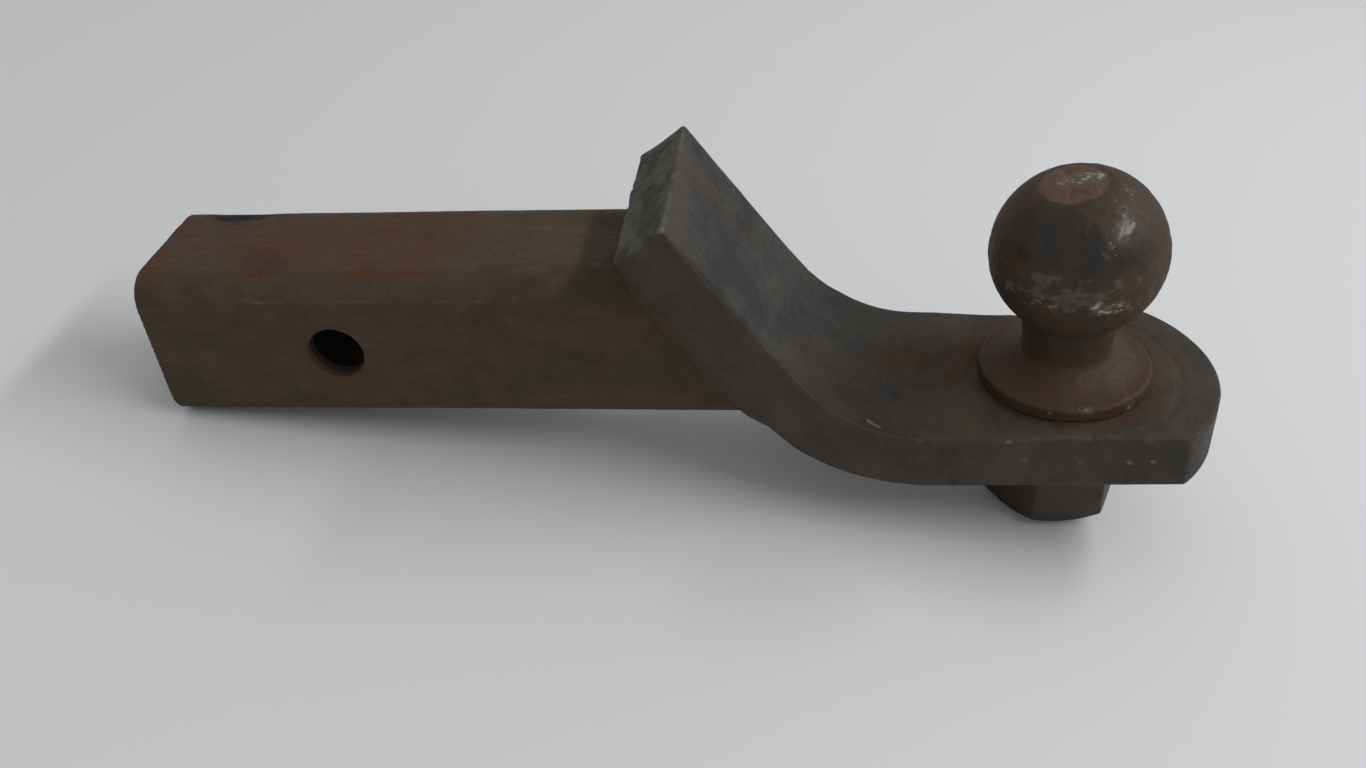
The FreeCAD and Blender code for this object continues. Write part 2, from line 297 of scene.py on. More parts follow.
def fromFace(depth):
    # how far a depth lies from the nearer of the bar's two faces
    return minimum(depth, bend["thick"] - depth)


# Shank tube

tube = {
    "half": 25.4, "wall": 6.35, "corner": 9.5, "tail": -59.0, "tailBreak": 0.7,
    "pinRadius": 8.73, "pinRim": 0.7, "pinBlock": 12.4,
    "straightTo": 62.0,  # from here the rows lean over to the mitre
    "outline": (44, 44, 12), "leanRows": 64, "straightRows": 112, "faceRows": 9,
    "sawDepth": 0.07, "sawLines": 2.6, "tailDent": 0.12,
    "chip": (-39, 18), "chipReach": (13, 5.5), "chipDepth": 0.25, "chipOver": 15,
    "settle": (0.5, 3),  # the relief fades out over this much before the mitre
    # light streak on the near top corner: degrees from the side face, reach along X
    "streakAt": 17, "streakWidth": (13, 2), "streakSpan": (-40, -10, 45, 80),
    # rust run under the pin hole, and spots on the near side: place, radius, strength
    "redSpan": (75, 10), "runWidth": (13, 1), "runSpan": (-19, -11, -10, -6),
    "spots": [(70, -25.4, 12, 7, 1.0), (60, -25.4, -2, 12, 0.6), (-25, -25.4, 10, 9, 0.5)],
}


def buildTube():
    # an outline set in by a depth and carried along X: outside to the tail, over its edges, inside to the mitre
    core, facing = loopPattern(*tube["outline"])
    rim, wall, tail = tube["tailBreak"], tube["wall"], tube["tail"]
    lean = linspace(1, 0, tube["leanRows"])[:-1]
    straight = linspace(tube["straightTo"], tail + rim, tube["straightRows"])
    outerX = r_[tube["straightTo"] + 0 * lean, straight]
    outerLean = r_[lean, 0 * straight]
    edgeDepth, edgeBack = rimRows(rim)
    edgeX = tail + edgeBack
    faceDepth = linspace(rim, wall - rim, tube["faceRows"])[1:-1]
    station = r_[outerX, edgeX, tail + 0 * faceDepth, edgeX[::-1], outerX[::-1]]
    depth = r_[0 * outerX, edgeDepth, faceDepth, wall - edgeDepth[::-1], wall + 0 * outerX]
    leaning = r_[outerLean, zeros(len(station) - 2 * len(outerX)), outerLean[::-1]]
    inner = tube["half"] - tube["corner"]
    section = core * inner + facing * (tube["corner"] - depth)[:, None, None]
    x = station[:, None] + leaning[:, None] * (backAt(section[..., 1]) - tube["straightTo"])
    points = concatenate([x[..., None], section], axis=-1)
    index = gridIndex(*points.shape[:2], loopRows=True, loopCols=True)
    keep = ones(points.shape[:2], bool)
    flat = points.reshape(-1, 3)
    sheets, faces = [flat], []
    nearPin = np.abs(station) < tube["pinBlock"]
    for way in (-1, 1):  # near and far wall, each with its bore
        onSide = (facing[:, 0] == way) & (np.abs(facing[:, 1]) < 1e-9)
        cols = flatnonzero(onSide & (np.abs(core[:, 1] * inner) < tube["pinBlock"]))
        rings = []
        for level in (0, wall):
            ring = openBlock(index, keep, flatnonzero(nearPin & (depth == level)), cols)
            rings.append(flat[ring[np.argsort(arctan2(flat[ring, 2], flat[ring, 0]))]])
        bore = boreSheet(*rings, zeros(3), array([0, 1.0, 0]), tube["pinRadius"], tube["pinRim"])
        faces.append(quads(gridIndex(*bore.shape[:2], first=sum(map(len, sheets)), loopCols=True)))
        sheets.append(bore.reshape(-1, 3))
    faces.insert(0, quads(index, keep))
    return makePiece("shankTube", "shank_tube", concatenate(sheets), concatenate(faces))


def finishTube(piece):
    # relief: waves, grain, saw lines and dents on the tail, less a chip on top;
    # masks: streak and worn edges, stains at the pin hole, redder top, dark for the chip as painted shade, and for
    # the inside
    place, facing = readPiece(piece)
    grain, patch = partial(layer, place), partial(patchy, place)
    x, y, z = place.T
    half, tail = tube["half"], tube["tail"]
    outer = maximum(np.abs(y), np.abs(z)) > half - tube["wall"] / 2
    height = layer(place * (0.25, 1, 1), 0.10, 9, 3) + grain(0.05, 3.4, 5, 2)
    sawLines = sin(z * tube["sawLines"] + grain(0.8, 9, 4))
    height += ease(x, tail + 1, tail) * tube["sawDepth"] * sawLines
    height -= tube["tailDent"] * patch(6, 11, 0.35, 0.9) * ease(x, tail + 4, tail) * outer
    fromChip = norm((place[:, :2] - tube["chip"]) / tube["chipReach"], axis=1)
    chip = ease(fromChip + grain(0.25, 5, 9, 3), 1.0, 0.7) * (z > tube["chipOver"])
    height -= tube["chipDepth"] * chip
    raiseRelief(piece, height * ease(backAt(z) - x, *tube["settle"]))
    inner = half - tube["corner"]
    corner = ease(minimum(np.abs(y), np.abs(z)), inner + 0.6, inner + 3.6) * outer
    nearTop = corner * (y < 0) * (z > 0)
    turned = degrees(arctan2(z - inner, -y - inner)) - tube["streakAt"]
    streak = ease(np.abs(turned + grain(6, 9, 20)), *tube["streakWidth"]) * nearTop
    rub = streak * patchy(place * (0.3, 1, 1), 4, 21, -0.9, 0.5) * window(x, *tube["streakSpan"])
    rub += 0.3 * nearTop * patch(6, 23, 0.2, 1.0)
    rub += 0.35 * ease(x, tail + 1.4, tail + 0.2) * outer * patch(7, 22, -0.2, 0.6)
    rusted = ease(np.abs(x - 1 + grain(3, 8, 31)), *tube["runWidth"])
    rusted = rusted * window(z, *tube["runSpan"]) * (y < 0)
    ring = ease(hypot(x, z), 14, 9) * patch(6, 33, -0.4, 0.8) * ease(z + x, 6, -8) * (np.abs(y) > 12)
    stain = 0.6 * (rusted + ring) + 0.35 * blobs(place, tube["spots"]) * patch(5, 34, -0.3, 0.6)
    top = ease(facing[:, 2], 0.75, 0.98) * outer * (z > 0)
    redder = top * ease(x, *tube["redSpan"]) * (0.7 + grain(0.3, 22, 35))
    grime = patchy(place * (0.5, 1, 1), 9, 37, 0.35, 1.0)
    # dark: full in the chip as painted shade, and partly inside the tube and in noise patches
    markPiece(piece, rub=rub, stain=stain, rust=0.30 + grain(0.12, 17, 36) + 0.5 * redder,
              dark=chip + 0.6 * (1 - outer) + 0.25 * grime)


# Bent bar

bar = {
    "half": 33.7, "edge": 1.2, "leastEdge": 0.15, "endRadius": 46.0, "endRim": 0.9,
    "holeRadius": 13.1, "holeRim": 0.5, "holeBlock": 17.5,
    "outline": (64, 16, 7), "bodyRows": (62, 56, 82), "capRows": 10,
    # the bend's far edge stands proud, where bending squeezed it
    "swell": 2.0, "swellAcross": (0, 30), "swellAlong": (132, 156, 178, 210),
    "lip": 0.25, "edgeWear": (0.42, 0.10), "backCalm": 0.75,  # part of the relief that the back loses
    "scarRadius": 35, "scarDepth": 0.25, "plainRadius": 15,  # about the ball's axis
    "haloSpan": (42, 27), "haloSpot": [(176, 2, -25, 19, 1.0)], "legSpot": [(128, 8, 14, 22, 1.0)],
    # light specks on the near side and on top: place, size, strength
    "nicks": [(x, 0, z, 1.8, 0.8) for x, z in
              ((203, -25.5), (208, -32), (224, -33), (232, -30), (238, -32.4), (245, -32.3))],
    "topNicks": [(161.9, -30, -21, 2.0, 0.7), (164.8, -31, -22.2, 2.0, 0.45),
                 (143.5, -33.7, -13.4, 2.0, 0.35), (104.9, -33, 46.3, 2.0, 0.8)],
}


def tongueRun(across):
    # run past the bend to the round end, a circle about the ball's axis
    return bend["ballReach"] - bendRun + sqrt(bar["endRadius"] ** 2 - across ** 2)


def buildBar():
    # a rounded rectangle carried down the leg, round the bend and out; each end rolls over a rim and closes
    core, facing = loopPattern(*bar["outline"])
    half, deep, rim = bar["half"], bend["thick"] / 2, bar["endRim"]
    legRows, bendRows, tongueRows = [linspace(0, 1, count) for count in bar["bodyRows"]]
    bodyPart = r_[legRows[:-1], 1 + bendRows[:-1], 2 + tongueRows]
    shrink = linspace(0, 1, bar["capRows"])[1:]
    rimInset, rimBack = rimRows(rim)
    capInset = r_[rimInset, rim + 0 * shrink]
    capBack = r_[rimBack, 0 * shrink]
    capShrink = r_[0 * rimBack, shrink]
    caps = len(capBack)
    inset = r_[capInset[::-1], 0 * bodyPart, capInset][:, None]
    shrunk = r_[capShrink[::-1], 0 * bodyPart, capShrink][:, None]
    corner = maximum(bar["edge"] - inset, bar["leastEdge"])
    across = core[:, 0] * (half - inset - corner) + facing[:, 0] * corner
    level = core[:, 1] * (deep - inset - corner) + facing[:, 1] * corner
    across += shrunk * (clip(across, deep - half, half - deep) - across)
    level *= 1 - shrunk
    onLeg, onBend, onTongue = [clip(bodyPart - first, 0, 1)[:, None] for first in range(3)]
    tongueLength = tongueRun(across[caps:-caps]) - rim
    bodyRun = rim + onLeg * (legRun - rim) + onBend * bendLength + onTongue * tongueLength
    topRun = capBack[::-1, None] + 0 * across[:caps]
    endRun = legRun + bendLength + tongueRun(across[-caps:]) - capBack[:, None]
    run = r_[topRun, bodyRun, endRun]
    side = barSide(run, deep - level)
    swell = ease(across, *bar["swellAcross"]) * window(side[..., 0], *bar["swellAlong"])
    lifted = side[..., 1] + bar["swell"] * swell * (deep + level) / bend["thick"]
    points = stack([side[..., 0], across, lifted], axis=-1)
    rows, cols = across.shape
    index = gridIndex(rows, cols, loopCols=True)
    flat = points.reshape(-1, 3)
    keep = ones((rows - 1, cols), bool)
    frontMiddle = np.argmin(where(facing[:, 1] < 0.5, np.inf, np.abs(core[:, 0])))
    pastSeat = run[:, frontMiddle] - legRun - bendLength - (bend["ballReach"] - bendRun)
    holeRows = flatnonzero((np.abs(pastSeat) < bar["holeBlock"]) & (inset[:, 0] == 0))
    centre, axis, ahead = [array([way[0], 0, way[1]]) for way in (seat, -tongueDown, tongueOnward)]
    rings = []
    for way in (1, -1):  # front and back face
        holeCols = flatnonzero((facing[:, 1] == way) & (np.abs(across[caps]) < bar["holeBlock"]))
        ring = openBlock(index, keep, holeRows, holeCols)
        rings.append(flat[ring[np.argsort(arctan2(flat[ring, 1], (flat[ring] - centre) @ ahead))]])
    bore = boreSheet(*rings, centre, axis, bar["holeRadius"], bar["holeRim"])
    faces = [quads(index, keep), quads(gridIndex(*bore.shape[:2], first=len(flat), loopCols=True))]
    points = r_[flat, bore.reshape(-1, 3)]
    return makePiece("tongueBar", "tongue_bar", points, concatenate(faces))


def finishBar(piece):
    # relief: waves, grain, cut sides, torch-cut end with a lip, less worn edges and a ring round the ball;
    # masks: worn edges and nicks, rusty halo, cut end, grime with painted shade in the bend's hollow, warm tongue
    place, facing = readPiece(piece)
    grain, patch = partial(layer, place), partial(patchy, place)
    x, y, z = place.T
    side = stack([x, z], axis=-1)
    half, thick, length = bar["half"], bend["thick"], bend["legLength"]
    upLeg = (side - knee) @ -legOnward
    legDepth = (side - knee) @ downAt(-legAngle)
    tongueDepth = (side - knee) @ tongueDown
    depth = where(upLeg > bendRun, legDepth, tongueDepth)
    cutEnd = ease(upLeg, length - 1.4, length - 0.4)
    rolled = ease(np.abs(facing[:, 1]), 0.5, 0.2) * (1 - cutEnd)
    sawn = ease(np.abs(facing[:, 1]), 0.4, 0.8)
    height = grain(0.12, 13, 41) + grain(0.07, 4, 42, 2)
    height += sawn * (grain(0.15, 5, 43, 3) + layer(place * (1, 1, 3), 0.08, 2.6, 44, 2))
    alongCut = stack([y, 0.25 * legDepth, 0 * y], axis=-1)
    height += cutEnd * (layer(alongCut, 0.10, 2.3, 45) + grain(0.26, 7, 46, 3)
                        + grain(0.12, 2.6, 40, 2))
    lip = cutEnd * ease(legDepth, 2.4, 0.3)
    height += lip * (bar["lip"] + grain(0.5, 6, 47))
    nearEdge, otherEdge = bar["edgeWear"]
    wear = where((y < 0) & (depth < 9), nearEdge, otherEdge) * (0.6 + grain(1, 9, 48, 3))
    height -= ease(np.abs(y), half - 1.6, half - 0.4) * ease(fromFace(depth), 1.6, 0.3) * wear
    height *= 1 - bar["backCalm"] * ease(depth, thick - 5, thick - 1) * (1 - cutEnd)
    fromAxis = hypot((side - seat) @ tongueOnward, y)
    onTop = ease(tongueDepth, 2, 0.5) * ease(facing[:, 2], 0.6, 0.9)
    scar = onTop * ease(np.abs(fromAxis - bar["scarRadius"] + grain(0.8, 9, 49)), 1.8, 0.2)
    height -= bar["scarDepth"] * scar
    raiseRelief(piece, where(fromAxis < bar["plainRadius"], 0, height))
    edge = ease(np.abs(y), half - 2.2, half - 0.5) * ease(fromFace(depth), 2.0, 0.4) * (depth < 6)
    endEdge = ease(upLeg, length - 1.6, length - 0.6) * ease(fromFace(legDepth), 1.8, 0.5)
    rub = 0.4 * edge * patch(8, 51, 0.2, 1.0) + 0.12 * endEdge * patch(6, 52, 0.0, 0.8)
    nicks = specks(place, bar["nicks"], (0.7, 1.6, 59), 1 / 6, (1, 0, 1))
    rub += 0.15 * scar + (y < 0) * ease(np.abs(y), 31, 32) * nicks
    rub += specks(place, bar["topNicks"], (0.8, 2.2, 55), 0.2, (0.6, 1, 1))
    halo = onTop * (0.8 * ease(fromAxis, *bar["haloSpan"]) + blobs(place, bar["haloSpot"]))
    rust = 0.20 + 0.75 * halo * patch(11, 53, -0.9, 0.3) + 0.16 * sawn + grain(0.08, 24, 54)
    rust += 0.15 * rolled * ease(upLeg, 8, 26) * blobs(place, bar["legSpot"]) + 0.15 * lip
    # grime with painted shade: darker down the leg, round the bend's hollow and on the tongue's left
    grime = rolled * ease(upLeg, 52, 20) * ease(x, 188, 158) * (0.75 + grain(0.35, 16, 58, 3))
    warm = onTop * ease(x, 150, 190) * (0.65 + grain(0.35, 12, 60, 3))
    scratch = ease(lumps(place * (1.3, 0.35, 1.3), 2.6, 56), 0.62, 0.85)
    scratch = scratch * patch(14, 57, 0.0, 0.5) * rolled
    markPiece(piece, rub=rub, rust=rust, cut=cutEnd, dark=0.75 * sawn, scratch=scratch, grime=grime, warm=warm)


# Weld bead

weld = {
    "onBar": 6.2, "onTube": 8.6, "bulge": 0.9, "ripple": 3.1, "rippleHeight": 0.22, "rippleBow": 9.6,
    "outline": (70, 70, 40), "beadRows": 17, "backRows": 5, "barToe": 0.12,
}


def buildWeld():
    # a closed ring round the tube: over the bead from the tube's toe to the bar's, to the root and back
    core, facing = loopPattern(*weld["outline"])
    across, height = (core * (tube["half"] - tube["corner"]) + facing * tube["corner"]).T
    rootRun = interp(-height, -backZ, backRun)
    root = stack([backAt(height), across, height], axis=-1)
    outAcross, outSlope = facing[:, 0], facing[:, 1] * sin(legAngle)
    length = hypot(outAcross, outSlope)
    wander = lumps(root, 11, 61)
    wide = weld["onBar"] * (1 + weld["barToe"] * wander)
    barX, barZ = onBack(rootRun - wide * outSlope / length).T
    toeBar = stack([barX, across + wide * outAcross / length, barZ], axis=-1)
    toeTube = root - array([1.0, 0, 0]) * (weld["onTube"] * (1 + layer(root, 0.15, 8, 62)))[:, None]
    step = norm(np.roll(root, -1, axis=0) - root, axis=1)
    path = r_[[0], np.cumsum(step)[:-1]]
    waves = np.round(step.sum() / weld["ripple"])
    part = linspace(0, 1, weld["beadRows"])[:, None]
    out = (toeTube + toeBar) / 2 - root
    out /= norm(out, axis=1)[:, None]
    arch = 4 * part * (1 - part)
    bow = weld["rippleBow"] * (part - 0.5) ** 2
    phase = 2 * pi * waves * path / step.sum() + bow + layer(root, 0.9, 14, 63)
    swell = arch * weld["bulge"] * (1 + 0.3 * wander) + weld["rippleHeight"] * sqrt(arch) * sin(phase)
    bead = toeTube + (toeBar - toeTube) * part[..., None] + out * swell[..., None]
    backDown = linspace(0, 1, weld["backRows"])[1:, None, None]
    points = r_[bead, toeBar + (root - toeBar) * backDown, root + (toeTube - root) * backDown[:-1]]
    return makeSheet("filletWeld", "fillet_weld", points, loopRows=True)


def finishWeld(piece):
    # patches of wear, rust in broad lumps
    place = readPiece(piece)[0]
    markPiece(piece, rub=0.5 * patchy(place, 5, 65, 0.3, 0.9), rust=0.5 + layer(place, 0.3, 16, 66))


# Hitch ball

ball = {
    "radius": 25.4, "rise": 43.6, "flatLevel": 23.3, "flatLean": (-0.17, -0.06), "flatSoft": 0.6,
    "neckTop": 14.2, "neckFoot": 13.2, "neckRise": 10.6, "neckSoftening": 5,
    "flange": 26.1, "rim": 3.4, "rimEdge": 1.3, "footEdge": 0.5, "slopeRadius": 17.0,
    "stud": 12.7, "studLength": 45.9, "studTip": 1.6, "studTop": -0.4,
    "threadPitch": 3.175, "threadDepth": 1.6, "columns": 240,
    "bandHigh": 4.6, "bandLow": -5.8,  # worn band, about the ball's centre
    "seatHeight": 0.6,  # below this the foot and stud stay plain
    "pockDepth": 0.22, "bandDepth": 0.12, "batterDepth": 0.45, "nickDepth": 0.5,
    # polished front, worn band front and where the band's painted reflection grows: degrees round the axis, heights
    # about the centre
    "polishAt": -93, "polishWidth": (58, 28), "polishSpan": (2.5, 8.0, 17, 23),
    "wornAt": -101, "wornWidth": (56, 30), "brightFrom": (-112, -85),
    "dentLevel": 23, "dentShift": 1.5, "dentReach": (9, 5),  # the dented patch of the flat
    "rimNicks": (-104, -84, -66, -51),  # degrees round the flange
    # painted glints: pale specks on the polished front along the highlight: place, size, strength
    "specks": [(231.9, -7.1, 41.9, 3.4, 0.9), (229.3, -11.4, 41.2, 2.6, 1.0), (228.9, -14.2, 39.5, 2.0, 0.9),
               (225.9, -21.2, 33.1, 2.4, 0.55), (224.4, -22.6, 31.1, 1.8, 0.45), (207.3, -10.0, 37.6, 1.3, 0.35)],
}
flatWay = array([*ball["flatLean"], 1.0])
flatWay /= norm(flatWay)


def straightRun(start, finish, count):
    # even points from a start up to a finish, without the last
    return array(start) + linspace(0, 1, count)[:-1, None] * (array(finish) - array(start))


def arcRun(centre, radius, first, last, count):
    # even angles on a circle, without the last: centre plus radius times cosine and sine
    angle = linspace(first, last, count)[:-1]
    return array(centre) + radius * stack([cos(angle), sin(angle)], axis=-1)


def slopeArc(start, finish, radius, count):
    # hollow arc between two points of the profile, centred outside it
    start, finish = array(start), array(finish)
    chord = finish - start
    away = array([chord[1], -chord[0]]) / norm(chord)
    centre = (start + finish) / 2 + away * sqrt(radius ** 2 - (chord @ chord) / 4)
    first, last = np.unwrap([arctan2(*(point - centre)[::-1]) for point in (start, finish)])  # the short way
    return arcRun(centre, radius, first, last, count)


def onBallAxis(radius, height, angle):
    # a point at a radius, height and turn about the ball's leaning axis
    along = radius * cos(angle)
    x = seat[0] + along * tongueOnward[0] - height * tongueDown[0]
    z = seat[1] + along * tongueOnward[1] - height * tongueDown[1]
    return stack([x, radius * sin(angle), z], axis=-1)


ballCentre = onBallAxis(0.0, ball["rise"], 0.0)


def buildBall():
    # a profile turned about the axis: stud with its thread, flange, hollow slope, neck and whole ball
    b = ball
    neckLevel = b["rise"] - sqrt(b["radius"] ** 2 - b["neckTop"] ** 2)
    ballStart = arctan2(neckLevel - b["rise"], b["neckTop"])
    rimTop = b["rim"] + b["rimEdge"]
    tip, tipEdge = (b["stud"] - b["studTip"], -b["studLength"]), (b["stud"], -b["studLength"] + b["studTip"])
    foot, rimIn = b["flange"] - b["footEdge"], b["flange"] - b["rimEdge"]
    studTop, neckFoot = (b["stud"], b["studTop"]), (b["neckFoot"], b["neckRise"])
    profile = concatenate([
        straightRun((0, -b["studLength"]), tip, 8),
        straightRun(tip, tipEdge, 5),
        straightRun(tipEdge, studTop, 100),
        straightRun(studTop, (foot, 0), 10),
        arcRun((foot, b["footEdge"]), b["footEdge"], -pi / 2, 0, 5),
        straightRun((b["flange"], b["footEdge"]), (b["flange"], b["rim"]), 6),
        arcRun((rimIn, b["rim"]), b["rimEdge"], 0, pi / 2, 7),
        slopeArc((rimIn, rimTop), neckFoot, b["slopeRadius"], 26),
        straightRun(neckFoot, (b["neckTop"], neckLevel), 20),
        arcRun((0, b["rise"]), b["radius"], ballStart, pi / 2, 150),
        array([[0, b["rise"] + b["radius"]]]),
    ])
    hollow = (profile[:, 1] > rimTop + 0.6) & (profile[:, 1] < neckLevel - 3)
    for _ in range(b["neckSoftening"]):  # softens the corner at the neck's foot
        blended = (np.roll(profile, 1, axis=0) + np.roll(profile, -1, axis=0)) / 2
        profile = where(hollow[:, None], blended, profile)
    radius, height = profile.T
    angle = linspace(0, 2 * pi, b["columns"] + 1)[:-1]
    turns = height[:, None] / b["threadPitch"] - angle / (2 * pi)
    tooth = np.abs(2 * (turns - np.floor(turns)) - 1)
    threaded = ease(height, -0.5, -16) * ease(radius, b["stud"] - 0.6, b["stud"] - 0.1) * (height < 0)
    reach = radius[:, None] - b["threadDepth"] * tooth * threaded[:, None]
    points = onBallAxis(reach, height[:, None] + 0 * angle, angle[None, :] + 0 * reach)
    # the flat: what stands over a leaning plane is pressed down to it, with a soft edge
    over = (points - ballCentre) @ flatWay - b["flatLevel"]
    pressed = b["flatSoft"] * np.logaddexp(0, over / b["flatSoft"])
    points = points - (pressed * (height > b["rise"])[:, None])[..., None] * flatWay
    return makeSheet("hitchBall", "hitch_ball", points)


def finishBall(piece):
    # relief: skin less pocks, pitted band, battered flat, rough neck, less nicks round the flange;
    # masks: worn band front, pale on its lower half as worn steel with a painted reflection, painted glints,
    # polished front, rust on the flat and foot
    b = ball
    place = readPiece(piece)[0]
    grain, patch = partial(layer, place), partial(patchy, place)
    fromSeat = place[:, [0, 2]] - seat
    height = -(fromSeat @ tongueDown)
    along, across = fromSeat @ tongueOnward, place[:, 1]
    turned, radius = degrees(arctan2(across, along)), hypot(along, across)
    overCentre = height - b["rise"]
    overSeat = height > b["seatHeight"]
    band = window(overCentre, b["bandLow"] - 2, b["bandLow"], b["bandHigh"], b["bandHigh"] + 2)
    onBall = ease(overCentre, -19, -16)
    fromCentre = place - ballCentre
    toFlat = norm(fromCentre - (fromCentre @ flatWay)[:, None] * flatWay, axis=1)
    flatTop = ease(overCentre, 15, 18) * ease(toFlat + grain(0.8, 4, 70), 11.5, 8.0)
    neck = ease(overCentre, -17, -21) * overSeat
    skin = grain(0.10, 8, 71) + grain(0.09, 2.8, 72, 2) - b["pockDepth"] * patch(4, 73, 0.45, 1.1)
    pitted = grain(0.10, 2.2, 74, 2) - b["bandDepth"] * patch(3.6, 75, 0.2, 0.8)
    battered = grain(0.14, 2.4, 77, 2) - b["batterDepth"] * patchy(place + 3, 5, 76, -0.3, 0.6)
    roughNeck = grain(0.14, 6, 78) + grain(0.08, 2.8, 79, 2)
    relief = onBall * skin + band * pitted + flatTop * battered + neck * roughNeck
    onRim = ease(radius, 24.2, 25.4) * overSeat * (height < 6)
    nicks = sum(ease(np.abs(turned - at), 7, 1) for at in b["rimNicks"]) * patch(3.2, 80, -0.3, 0.5) * onRim
    raiseRelief(piece, overSeat * (relief - b["nickDepth"] * nicks))
    uneven = grain(14, 8, 83, 3)
    polish = ease(np.abs(turned - b["polishAt"] + uneven), *b["polishWidth"])
    polish = polish * window(overCentre + 0.2 * uneven, *b["polishSpan"]) * onBall
    polish *= 0.8 + grain(0.4, 5, 86, 3)
    bandFront = band * ease(np.abs(turned - b["wornAt"] + uneven), *b["wornWidth"])
    rust = 0.42 * onBall * (1 - polish) + 0.72 * neck * ease(height, 24, 10) + 0.9 * flatTop - 0.2 * polish
    fromDent = (fromCentre - b["dentLevel"] * flatWay)[:, :2] - b["dentShift"]
    fromDent = norm(fromDent / b["dentReach"], axis=1)
    dented = 0.85 * ease(fromDent + grain(0.4, 4.5, 84, 3), 1.0, 0.5) * flatTop
    rub = 0.7 * bandFront * (0.6 + layer(place * (1, 1, 1.6), 0.6, 4, 81, 3)) + 0.9 * nicks + dented
    # the band's lower front: pale worn steel with a painted reflection of the floor, stronger toward the right
    low = bandFront * ease(overCentre, 0, -3.5) * patch(4.5, 87, -0.25, 0.45)
    bright = low * (0.45 + 0.55 * ease(turned, *b["brightFrom"])) + dented + 0.7 * nicks
    # painted glints: pale specks where the highlight breaks up
    bright += specks(place, b["specks"], (0.5, 1.4, 88), 0.2)
    dark = 0.3 * neck * ease(height, 9.5, 12) + (height < 0)
    markPiece(piece, rub=rub, rust=rust, dark=dark, polish=polish, bright=bright)


# Lock washer and nut

washer = {
    "outer": 20.8, "inner": 13.0, "thick": 6.35, "split": 2.2, "splitLean": 3.0, "edge": 0.5,
    "outline": (8, 8, 5), "rows": 121, "endGrowth": (0, 0.5, 0.85), "seed": 91,
}


def buildWasher():
    # a rounded rectangle carried round the axis between the sides of a slanted split, closed at each end
    core, facing = loopPattern(*washer["outline"])
    edge, deep = washer["edge"], washer["thick"] / 2
    half, middle = (washer["outer"] - washer["inner"]) / 2, (washer["outer"] + washer["inner"]) / 2
    out = core[:, 0] * (half - edge) + facing[:, 0] * edge
    level = core[:, 1] * (deep - edge) + facing[:, 1] * edge
    ends = washer["endGrowth"]
    turn = r_[0 * array(ends), linspace(0, 1, washer["rows"]), ones(len(ends))][:, None]
    grow = r_[ends, ones(washer["rows"]), ends[::-1]][:, None]
    radius = middle + grow * out
    height = grow * level
    gap = washer["split"] / 2 / radius
    slant = washer["splitLean"] * height / washer["thick"] / radius
    angle = pi / 2 + gap + turn * (2 * pi - 2 * gap) - slant
    points = onBallAxis(radius, height - bend["thick"] - deep, angle)
    return makeSheet("lockWasher", "lock_washer", points)


nut = {
    "flats": 38.1, "thick": 22.0, "turn": 7.6, "step": 0.65, "chamfer": 30.0, "sink": 1.2, "bore": 12.85,
    "sharpness": 70, "soft": 0.25, "faceStep": 0.05, "columns": 360, "seed": 95,
}


def buildNut():
    # rows round a hexagon with soft corners, under a cone at each end; the upper rows mirror the lower
    angle = linspace(0, 2 * pi, nut["columns"] + 1)[:-1]
    flatAngle = radians(nut["turn"] + 30 + 60 * np.arange(6))
    nearness = maximum(cos(angle[:, None] - flatAngle), 0)
    hexagon = nut["flats"] / 2 / (nearness ** nut["sharpness"]).sum(axis=1) ** (1 / nut["sharpness"])
    face, sunk, soft, step = nut["flats"] / 2 - nut["step"], nut["bore"] + nut["sink"], nut["soft"], nut["faceStep"]
    fall = (hexagon - face) * np.tan(radians(nut["chamfer"]))
    part = linspace(0, 1, 6)[:, None]
    level = 0 * angle
    half = [  # radius, and height over the nut's end
        (nut["bore"] + nut["sink"] * part, nut["sink"] * (1 - part) + level),
        (sunk + (face - soft - sunk) * part[1:], 0 * part[1:] + level),
        (face + (hexagon - soft - face) * part[1:], step + (fall - step) * part[1:]),
    ]
    side = (hexagon + 0 * part, fall + soft + (nut["thick"] - 2 * fall - 2 * soft) * part)
    mirrored = [(out[::-1], nut["thick"] - rise[::-1]) for out, rise in half[::-1]]
    rows = half + [side] + mirrored
    radius = concatenate([out + level for out, rise in rows])
    height = concatenate([rise for out, rise in rows]) - nut["thick"] - bend["thick"] - washer["thick"]
    points = onBallAxis(radius, height, angle + 0 * radius)
    return makeSheet("hexNut", "hex_nut", points, loopRows=True)


def finishHardware(piece, seed):
    # low waves and grain, patches of wear, rust in broad lumps
    place = readPiece(piece)[0]
    raiseRelief(piece, layer(place, 0.05, 6, seed) + layer(place, 0.04, 2.5, seed + 1, 2))
    markPiece(piece, rub=0.5 * patchy(place, 6, seed + 2, 0.4, 1.0),
              rust=0.35 + layer(place, 0.3, 12, seed + 3))


tubePiece = buildTube()
finishTube(tubePiece)
barPiece = buildBar()
finishBar(barPiece)
weldPiece = buildWeld()
finishWeld(weldPiece)
ballPiece = buildBall()
finishBall(ballPiece)
washerPiece = buildWasher()
finishHardware(washerPiece, washer["seed"])
nutPiece = buildNut()
finishHardware(nutPiece, nut["seed"])
print("pieces shaped")


# Materials

work = {}  # holds the node tree that is being filled


def fill(item, inputs):
    # a node's inputs, each a value or another node's output
    for name, value in inputs.items():
        if isinstance(value, bpy.types.NodeSocket):
            work["tree"].links.new(value, item.inputs[name])
        else:
            item.inputs[name].default_value = value


def put(kind, inputs={}, **settings):
    # adds a node with its inputs and settings
    item = work["tree"].nodes.new("ShaderNode" + kind)
    for name, value in settings.items():
        setattr(item, name, value)
    fill(item, inputs)
    return item


def mathOf(operation, first, second=0.0):
    # one value and another, joined by the named operation
    return put("Math", {0: first, 1: second}, operation=operation).outputs[0]


def timesOf(first, second):
    # one value times another
    return mathOf("MULTIPLY", first, second)


